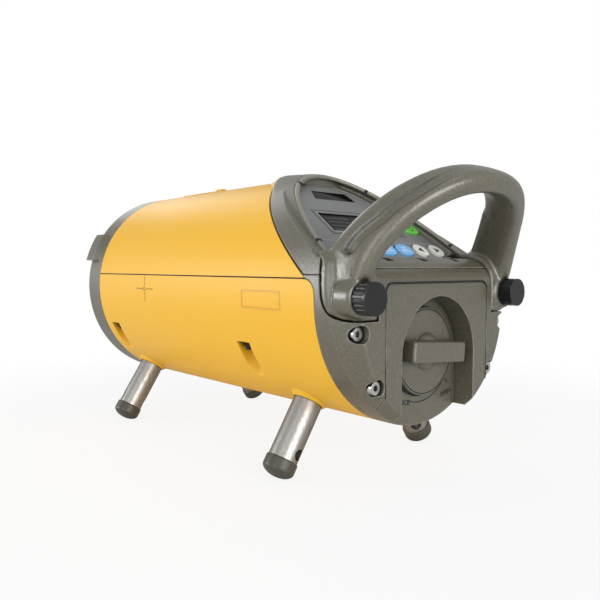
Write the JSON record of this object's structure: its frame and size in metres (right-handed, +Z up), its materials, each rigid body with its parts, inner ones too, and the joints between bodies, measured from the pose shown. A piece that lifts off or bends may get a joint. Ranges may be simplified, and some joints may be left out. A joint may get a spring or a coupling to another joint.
{
  "type": "pipe laser",
  "caption": "Pipe laser: tubular yellow body on stub legs, sloped keypad and display, tilted carrying handle, battery drawer with a turning lock, gimballed laser.",
  "frame": {"origin": "middle of the bounding box's base, on the ground under the instrument", "axes": "+X along the beam towards the front window, +Y to the left side, +Z up"},
  "size_m": [0.2786, 0.1226, 0.1507],
  "materials": {
    "yellow_paint": "satin warm yellow powder coat with a fine texture",
    "olive_plastic": "olive-grey moulding with a fine spark-eroded texture",
    "panel_face": "dark grey panel film, satin",
    "seal_rubber": "black seal",
    "screw_steel": "plain stainless screws",
    "window_glass": "clear window",
    "display_glass": "clear display window",
    "display_module": "dark display, switched off",
    "dark_filter": "dark filter over the remote receiver",
    "black_plastic": "black moulding",
    "white_key": "off-white key",
    "blue_key": "sky-blue key",
    "green_key": "bright green key",
    "leg_steel": "turned stainless steel",
    "foot_rubber": "dark olive rubber",
    "board": "green circuit board",
    "cast_alloy": "cast light alloy",
    "black_alloy": "black anodised tube",
    "lens_glass": "collimator lens",
    "brass": "turned brass",
    "bright_steel": "bright steel",
    "cell_wrap": "plain dark cell wrap"
  },
  "bodies": {
    "main": {"casing_lower": "yellow_paint", "casing_upper": "yellow_paint", "casing_seal": "seal_rubber", "casing_screws": "screw_steel", "front_cap": "olive_plastic", "cap_screws": "screw_steel", "window_glass": "window_glass", "window_seal": "seal_rubber", "window_ring": "black_plastic", "front_sensor": "dark_filter", "rear_housing": "olive_plastic", "rear_screws": "screw_steel", "panel_housing": "olive_plastic", "panel_seal": "seal_rubber", "panel_plate": "panel_face", "lcd_window": "display_glass", "lcd_module": "display_module", "rear_sensor": "dark_filter", "key_board": "board", "handle": "olive_plastic", "battery_bay": "cast_alloy", "leg_front_left": "leg_steel", "leg_front_right": "leg_steel", "leg_rear_left": "leg_steel", "leg_rear_right": "leg_steel", "foot_front_left": "foot_rubber", "foot_front_right": "foot_rubber", "foot_rear_left": "foot_rubber", "foot_rear_right": "foot_rubber", "optical_frame": "cast_alloy", "pivot_pins": "bright_steel", "line_motor": "bright_steel", "main_board": "board"},
    "knob_left": {"knob_left": "black_plastic"},
    "knob_right": {"knob_right": "black_plastic"},
    "drawer": {"battery_cover": "olive_plastic", "cover_seal": "seal_rubber", "battery_tray": "black_plastic", "battery_cells": "cell_wrap", "battery_contacts": "bright_steel"},
    "lock": {"lock_knob": "olive_plastic", "lock_shaft": "bright_steel"},
    "yoke": {"gimbal_yoke": "cast_alloy", "grade_motor": "bright_steel"},
    "tube": {"laser_tube": "black_alloy", "laser_lens": "lens_glass", "laser_diode": "brass"},
    "grade_screw": {"grade_screw": "bright_steel"},
    "grade_nut": {"grade_nut": "brass"},
    "line_screw": {"line_screw": "bright_steel"},
    "line_nut": {"line_nut": "brass"},
    "key_left": {"key_left": "white_key"},
    "key_right": {"key_right": "white_key"},
    "key_mode": {"key_mode": "blue_key"},
    "key_speed": {"key_speed": "blue_key"},
    "key_up": {"key_up": "white_key"},
    "key_down": {"key_down": "white_key"},
    "key_power": {"key_power": "green_key"}
  },
  "joints": [
    {"name": "knob_left_turn", "type": "hinge", "parent": "main", "child": "knob_left", "pos_m": [-0.11011, 0.053, 0.08685], "axis": [-1, 0, 0], "continuous": true},
    {"name": "knob_right_turn", "type": "hinge", "parent": "main", "child": "knob_right", "pos_m": [-0.11011, -0.053, 0.08685], "axis": [-1, 0, 0], "continuous": true},
    {"name": "key_left_press", "type": "slide", "parent": "main", "child": "key_left", "axis": [0.6088, 0, -0.7934], "range_m": [0, 0.0008], "stiffness_N_per_m": 1800, "springref_m": -0.0004},
    {"name": "key_right_press", "type": "slide", "parent": "main", "child": "key_right", "axis": [0.6088, 0, -0.7934], "range_m": [0, 0.0008], "stiffness_N_per_m": 1800, "springref_m": -0.0004},
    {"name": "key_mode_press", "type": "slide", "parent": "main", "child": "key_mode", "axis": [0.6088, 0, -0.7934], "range_m": [0, 0.0008], "stiffness_N_per_m": 1800, "springref_m": -0.0004},
    {"name": "key_speed_press", "type": "slide", "parent": "main", "child": "key_speed", "axis": [0.6088, 0, -0.7934], "range_m": [0, 0.0008], "stiffness_N_per_m": 1800, "springref_m": -0.0004},
    {"name": "key_up_press", "type": "slide", "parent": "main", "child": "key_up", "axis": [0.6088, 0, -0.7934], "range_m": [0, 0.0008], "stiffness_N_per_m": 1800, "springref_m": -0.0004},
    {"name": "key_down_press", "type": "slide", "parent": "main", "child": "key_down", "axis": [0.6088, 0, -0.7934], "range_m": [0, 0.0008], "stiffness_N_per_m": 1800, "springref_m": -0.0004},
    {"name": "key_power_press", "type": "slide", "parent": "main", "child": "key_power", "axis": [0.6088, 0, -0.7934], "range_m": [0, 0.0008], "stiffness_N_per_m": 1800, "springref_m": -0.0004},
    {"name": "drawer_slide", "type": "slide", "parent": "main", "child": "drawer", "axis": [-1, 0, 0], "range_m": [0, 0.14]},
    {"name": "lock_turn", "type": "hinge", "parent": "drawer", "child": "lock", "pos_m": [-0.10901, 0, 0.06015], "axis": [-1, 0, 0], "range_deg": [0, 90]},
    {"name": "line_swing", "type": "hinge", "parent": "main", "child": "yoke", "pos_m": [0.05619, 0, 0.08635], "axis": [0, 0, 1], "range_deg": [-11.3, 11.3]},
    {"name": "grade_tilt", "type": "hinge", "parent": "yoke", "child": "tube", "pos_m": [0.05619, 0, 0.08635], "axis": [0, -1, 0], "range_deg": [-8.5, 21.8]},
    {"name": "grade_nut_lift", "type": "slide", "parent": "yoke", "child": "grade_nut", "axis": [0, 0, 1], "range_m": [-0.00554, 0.01421]},
    {"name": "grade_screw_turn", "type": "hinge", "parent": "yoke", "child": "grade_screw", "pos_m": [0.09419, 0.019, 0.08635], "axis": [0, 0, 1], "range_deg": [-498.5, 1278.6]},
    {"name": "line_nut_slide", "type": "slide", "parent": "main", "child": "line_nut", "axis": [0, 1, 0], "range_m": [-0.0079, 0.0079]},
    {"name": "line_screw_turn", "type": "hinge", "parent": "main", "child": "line_screw", "pos_m": [0.01619, 0, 0.10935], "axis": [0, 1, 0], "range_deg": [-710.7, 710.7]}
  ],
  "couplings": [
    {"joint": "grade_nut_lift", "follows": "grade_tilt", "m_per_rad": 0.0373},
    {"joint": "grade_screw_turn", "follows": "grade_tilt", "ratio": 58.591},
    {"joint": "line_nut_slide", "follows": "line_swing", "m_per_rad": -0.04},
    {"joint": "line_screw_turn", "follows": "line_swing", "ratio": -62.832}
  ]
}
